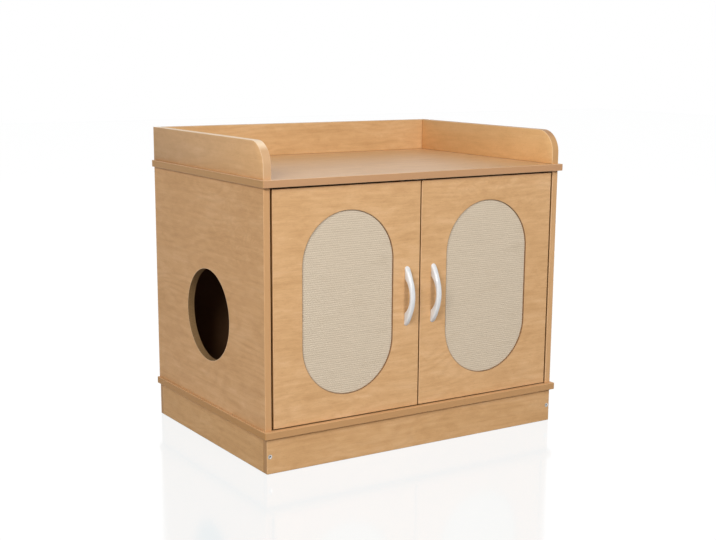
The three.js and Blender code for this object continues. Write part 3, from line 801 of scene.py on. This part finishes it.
def addHandle(side, finish):
    node = f"{side}_handle"
    low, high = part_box(node)
    middle = (low + high) / 2
    face = high.y
    halfLength, halfWidth = handle["length"] / 2, handle["width"] / 2
    bm = bmesh.new()
    bmesh.ops.create_grid(bm, x_segments=handle["facets"], y_segments=handle["stations"], size=0.5)
    for vertex in bm.verts:
        angle = 2 * math.pi * vertex.co.x
        along = halfLength * math.sin(math.pi * vertex.co.y)  # closer together near the tips
        outer = bowRise(handle["length"], handle["rise"], along)
        inner = max(bowRise(handle["opening"], handle["gap"], along), -handle["sunk"])
        tip = max(abs(along) - (halfLength - halfWidth), 0)
        wide = math.sqrt(max(halfWidth * halfWidth - tip * tip, 0))
        proud = (outer + inner) / 2 + (outer - inner) / 2 * power(math.cos(angle), 2 / handle["squareness"])
        across = wide * power(math.sin(angle), 2 / handle["squareness"])
        vertex.co = Vector((middle.x + across * mm, face - proud * mm, middle.z + along * mm))
    bmesh.ops.remove_doubles(bm, verts=bm.verts, dist=0.01 * mm)
    whole = list(bm.verts) + list(bm.edges) + list(bm.faces)
    seat = (0, face - handle["seat"] * mm, 0)
    bmesh.ops.bisect_plane(bm, geom=whole, plane_co=seat, plane_no=(0, 1, 0), clear_outer=True)
    bmesh.ops.holes_fill(bm, edges=[edge for edge in bm.edges if edge.is_boundary])
    bmesh.ops.recalc_face_normals(bm, faces=bm.faces)
    addPiece(f"{side}_bow_handle", bm, finish, f"{side}_door", 50, [node])


# Metal parts

metal = {
    "nickel": (196, 194, 190),
    "nickelDeep": (168, 165, 160),
    "zinc": (150, 150, 148),
    "zincDeep": (118, 117, 114),
    "ferrite": (62, 60, 60),
    "pole": (170, 168, 165),
    # painted shade in the plinth screws' sockets
    "socketShade": (34, 29, 24),
    "socketRadius": 1.9,
    "poleWidth": 1.5,  # of the magnet's steel faces, above and below the ferrite
}


def nickelFinish():
    f = material("nickel_plate")
    place = f.millimetres()
    brushed = f.noise(f.stretch(place, (18, 0.5, 0.9)), 3.0)
    smear = f.noise(f.stretch(place, (12, 12, 12)), 2.0)
    tone = f.mix(paint(*metal["nickel"]), paint(*metal["nickelDeep"]), smear.ease(0.35, 0.75))
    rough = brushed * 0.12 + smear * 0.1 + 0.18
    # Painted shade: the plinth screws' sockets are painted dark, and not metallic.
    low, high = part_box("plinth_screw_front_right")
    x, _, z = f.split(place)
    fromAxis = f.hypot(abs(x) - (low.x + high.x) / 2 / mm, z - (low.z + high.z) / 2 / mm)
    socket = fromAxis.ease(metal["socketRadius"] + 0.1, metal["socketRadius"] - 0.1)
    tone = f.mix(tone, paint(*metal["socketShade"]), socket)
    return f.surface({"Base Color": tone, "Metallic": 1 - socket, "Roughness": rough + socket * 0.5,
                      "Normal": f.bump(brushed, 0.01, 0.3)})


def zincFinish():
    f = material("cast_zinc")
    place = f.millimetres()
    sand = f.noise(f.stretch(place, (0.7, 0.7, 0.7)), 4.0, 0.65)
    tone = f.mix(paint(*metal["zinc"]), paint(*metal["zincDeep"]), sand.ease(0.35, 0.7))
    return f.surface({"Base Color": tone, "Metallic": 0.9, "Roughness": sand * 0.2 + 0.4,
                      "Normal": f.bump(sand, 0.08, 0.5)})


catch = {"plain": (222, 214, 199), "deep": (212, 203, 186)}


def catchFinish():
    f = material("catch_plastic")
    place = f.millimetres()
    skin = f.noise(f.stretch(place, (0.5, 0.5, 0.5)), 2.0)
    flow = f.noise(f.stretch(place, (20, 10, 8)), 2.0)
    tone = f.mix(paint(*catch["plain"]), paint(*catch["deep"]), flow.ease(0.35, 0.7))
    return f.surface({"Base Color": tone, "Roughness": skin * 0.12 + 0.42,
                      "Normal": f.bump(skin, 0.03, 0.5)})


def magnetFinish():
    low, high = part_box("catch_magnet_left")
    f = material("magnet")
    place = f.millimetres((low + high) / 2)
    poleStart = (high.z - low.z) / 2 / mm - metal["poleWidth"]
    pole = abs(f.split(place)[2]).ease(poleStart - 0.1, poleStart + 0.1)
    grit = f.noise(f.stretch(place, (0.4, 0.4, 0.4)), 3.0)
    tone = f.mix(paint(*metal["ferrite"]), paint(*metal["pole"]), pole)
    rough = grit * 0.2 + 0.55 - pole * 0.25
    return f.surface({"Base Color": tone, "Metallic": pole, "Roughness": rough,
                      "Normal": f.bump(grit, 0.03, 0.4)})


# Small screws that the frame's solids leave out

screw = {  # in shares of the head's radius and height
    "facets": 24,
    "shoulder": 0.3,
    "crown": 0.45,
    "recess": 0.62,
    "slot": 0.17,
    "slotDepth": 0.7,
}


def inDisc(face, radius):
    return max(vertex.co.xy.length for vertex in face.verts) < radius * screw["recess"] * 1.02


def screwHead(radius, height):
    # A pan head that stands on the origin, crowned along +Z, with a cross recess.
    bm = bmesh.new()
    raised = Matrix.Translation((0, 0, height / 2))
    bmesh.ops.create_cone(bm, cap_ends=True, segments=screw["facets"], radius1=radius, radius2=radius,
                          depth=height, matrix=raised)
    cap = max(bm.faces, key=lambda face: face.calc_center_median().z)
    bmesh.ops.inset_region(bm, faces=[cap], thickness=radius * screw["shoulder"],
                           depth=height * screw["crown"])
    margin = 1 - screw["shoulder"] - screw["recess"]
    bmesh.ops.inset_region(bm, faces=[cap], thickness=radius * margin)
    slot = radius * screw["slot"]
    disc = [cap]
    for axis in (Vector((1, 0, 0)), Vector((0, 1, 0))):
        for way in (-1, 1):
            pieces = disc + [part for face in disc for part in (*face.edges, *face.verts)]
            bmesh.ops.bisect_plane(bm, geom=list(set(pieces)), plane_co=axis * slot * way, plane_no=axis)
            top = max(face.calc_center_median().z for face in bm.faces) - height * 0.01
            disc = [face for face in bm.faces if face.calc_center_median().z > top and inDisc(face, radius)]
    arms = [face for face in disc if min(map(abs, face.calc_center_median().xy)) < slot]
    sunk = bmesh.ops.extrude_face_region(bm, geom=arms)["geom"]
    floor = [part for part in sunk if isinstance(part, bmesh.types.BMVert)]
    bmesh.ops.translate(bm, verts=floor, vec=(0, 0, -height * screw["slotDepth"]))
    return bm


def addScrews(name, spots, axis, radius, height, finish, body):
    # Several heads as one piece, each made at the origin and then set in place.
    whole = bmesh.new()
    facing = Vector(axis).to_track_quat("Z", "Y").to_matrix().to_4x4()
    for spot in spots:
        one = screwHead(radius * mm, height * mm)
        bmesh.ops.transform(one, matrix=Matrix.Translation(spot) @ facing, verts=one.verts)
        mesh = bpy.data.meshes.new("one_screw")
        one.to_mesh(mesh)
        one.free()
        whole.from_mesh(mesh)
        bpy.data.meshes.remove(mesh)
    addPiece(name, whole, finish, body, 35)


def addHardware():
    nickel, zinc, plastic, magnet = nickelFinish(), zincFinish(), catchFinish(), magnetFinish()
    for name in nodes:
        if name.startswith("cam_"):
            roundedCopy(name, zinc)
        elif name.startswith("hinge_") or "screw" in name or "strike" in name:
            roundedCopy(name, nickel)
        elif name.startswith("catch_magnet"):
            dress(name, magnet)
        elif name == "catch_housing":
            roundedCopy(name, plastic)
    return nickel


fastener = {
    "plateSpacing": 32,
    "plateBehindFront": 52,  # side panel's front edge to the plate's screws
    "plateThickness": 2.5,
    "cupSpacing": 48,
    "cupOffset": 6,  # cup's centre to its screw line, towards the cabinet's middle
    "radius": 3.2,
    "height": 1.8,
    "strikeRadius": 2.6,
    "strikeHeight": 0.12,  # countersunk, almost flush
    "catchRadius": 2.8,
    "catchHeight": 1.4,
}


def pairOf(centre, spacing):
    # Two places, one above and one below the centre.
    return [Vector(centre) + Vector((0, 0, way * spacing / 2 * mm)) for way in (-1, 1)]


def addFasteners(nickel):
    radius, height = fastener["radius"], fastener["height"]
    for side, way in sides.items():
        body = f"{side}_door"
        for level in ("lower", "upper"):
            low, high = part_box(f"hinge_{side}_{level}_plate")
            cupLow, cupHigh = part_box(f"hinge_{side}_{level}_cup")
            z = (cupLow.z + cupHigh.z) / 2
            wall = low.x if way < 0 else high.x
            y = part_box(f"{side}_side")[0].y + fastener["plateBehindFront"] * mm
            onPlate = pairOf((wall - way * fastener["plateThickness"] * mm, y, z), fastener["plateSpacing"])
            addScrews(f"{side}_{level}_plate_screws", onPlate, (-way, 0, 0), radius, height, nickel, "root")
            cupX = (cupLow.x + cupHigh.x) / 2 - way * fastener["cupOffset"] * mm
            onCup = pairOf((cupX, cupHigh.y, z), fastener["cupSpacing"])
            addScrews(f"{side}_{level}_cup_screws", onCup, (0, 1, 0), radius, height, nickel, body)
        low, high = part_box(f"{side}_strike_plate")
        middle = (low + high) / 2
        addScrews(f"{side}_strike_screw", [(middle.x, high.y, middle.z)], (0, 1, 0),
                  fastener["strikeRadius"], fastener["strikeHeight"], nickel, body)
    low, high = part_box("catch_housing")
    middle = (low + high) / 2
    addScrews("catch_screw", [(middle.x, middle.y, low.z)], (0, 0, -1),
              fastener["catchRadius"], fastener["catchHeight"], nickel, "root")


addCamera()
addBackdrop()
for name, lamp in studio["lamps"].items():
    addLamp(name, *lamp)
addFloor()
scene.view_settings.view_transform = "Standard"
print("camera, lamps and floor set")

addBoards()
addBackPanel()
whiteHandle = handleFinish()
for side, way in sides.items():
    addMat(side, way)
    addHandle(side, whiteHandle)
print("mats and handles made")

nickel = addHardware()
addFasteners(nickel)
print("hinges, catch, cams and screws made")
